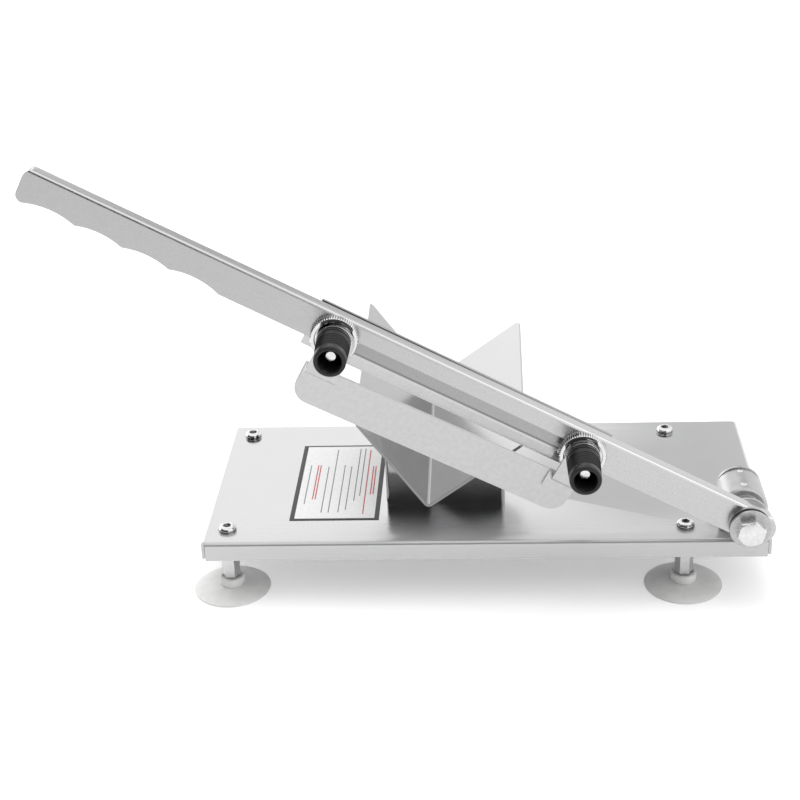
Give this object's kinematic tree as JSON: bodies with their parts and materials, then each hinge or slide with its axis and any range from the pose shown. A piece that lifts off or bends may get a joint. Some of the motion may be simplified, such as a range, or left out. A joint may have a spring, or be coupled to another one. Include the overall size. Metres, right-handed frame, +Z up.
{
  "type": "manual meat slicer",
  "caption": "Hand-operated slicer with a hinged blade lever, an adjustable thickness plate, a V-shaped meat trough and a steel tray on suction feet.",
  "frame": {"origin": "on the floor under the middle of the slicer's bounding box, lever at its pictured angle", "axes": "+X from the grip end to the pivot end, -Y towards the lever and the knobs, +Z up"},
  "size_m": [0.3686, 0.1834, 0.2454],
  "materials": {
    "tray_steel": "satin",
    "trough_steel": "bright rolled",
    "stand_steel": "mirror polished",
    "block_steel": "machined",
    "lever_steel": "brushed along the lever",
    "blade_steel": "ground",
    "gauge_steel": "brushed",
    "knurled_steel": "fine knurl",
    "post_steel": "drawn",
    "fastener_steel": "bright",
    "knob_plastic": "fine ribbed",
    "cup_rubber": "smooth translucent grey",
    "panel_film": "bordered film"
  },
  "bodies": {
    "base": {"base_plate": "tray_steel", "foot_screws": "fastener_steel", "foot_post_1": "post_steel", "foot_post_2": "post_steel", "foot_post_3": "post_steel", "foot_post_4": "post_steel", "suction_cup_1": "cup_rubber", "suction_cup_2": "cup_rubber", "suction_cup_3": "cup_rubber", "suction_cup_4": "cup_rubber", "trough": "trough_steel", "trough_stand": "stand_steel", "label_panel": "panel_film", "pivot_block": "block_steel", "pivot_bolt": "fastener_steel", "pivot_front_washer": "fastener_steel", "pivot_spring_washer": "fastener_steel", "pivot_arm_washer": "fastener_steel", "pivot_back_washer": "fastener_steel", "pivot_jam_nut": "fastener_steel", "pivot_spacer_washer": "fastener_steel", "pivot_far_washer": "fastener_steel", "pivot_lock_nut": "fastener_steel"},
    "arm": {"arm_channel": "lever_steel", "pivot_bush": "fastener_steel", "blade": "blade_steel", "stud_left": "fastener_steel", "stud_right": "fastener_steel", "stud_nuts": "fastener_steel"},
    "gauge": {"gauge_plate": "gauge_steel", "bracket_left": "gauge_steel", "bracket_right": "gauge_steel", "knob_washers": "fastener_steel"},
    "disc_left": {"disc_left": "knurled_steel"},
    "disc_right": {"disc_right": "knurled_steel"},
    "knob_left": {"knob_left": "knob_plastic"},
    "knob_right": {"knob_right": "knob_plastic"}
  },
  "joints": [
    {"name": "arm_swing", "type": "hinge", "parent": "base", "child": "arm", "pos_m": [0.16992, -0.05745, 0.0494], "axis": [0, 1, 0], "range_deg": [-25, 60]},
    {"name": "gauge_slide", "type": "slide", "parent": "arm", "child": "gauge", "axis": [0, -1, 0], "range_m": [0, 0.01]},
    {"name": "left_disc_turn", "type": "hinge", "parent": "gauge", "child": "disc_left", "pos_m": [-0.03655, -0.06405, 0.15763], "axis": [0, -1, 0], "range_deg": [0, 3600]},
    {"name": "right_disc_turn", "type": "hinge", "parent": "gauge", "child": "disc_right", "pos_m": [0.08475, -0.06405, 0.09204], "axis": [0, -1, 0], "range_deg": [0, 3600]},
    {"name": "left_knob_turn", "type": "hinge", "parent": "gauge", "child": "knob_left", "pos_m": [-0.03655, -0.06405, 0.15763], "axis": [0, -1, 0], "range_deg": [0, 3600]},
    {"name": "right_knob_turn", "type": "hinge", "parent": "gauge", "child": "knob_right", "pos_m": [0.08475, -0.06405, 0.09204], "axis": [0, -1, 0], "range_deg": [0, 3600]}
  ],
  "couplings": [
    {"joint": "left_disc_turn", "follows": "gauge_slide", "rad_per_m": 6283.2},
    {"joint": "right_disc_turn", "follows": "gauge_slide", "rad_per_m": 6283.2},
    {"joint": "left_knob_turn", "follows": "gauge_slide", "rad_per_m": 6283.2},
    {"joint": "right_knob_turn", "follows": "gauge_slide", "rad_per_m": 6283.2}
  ]
}
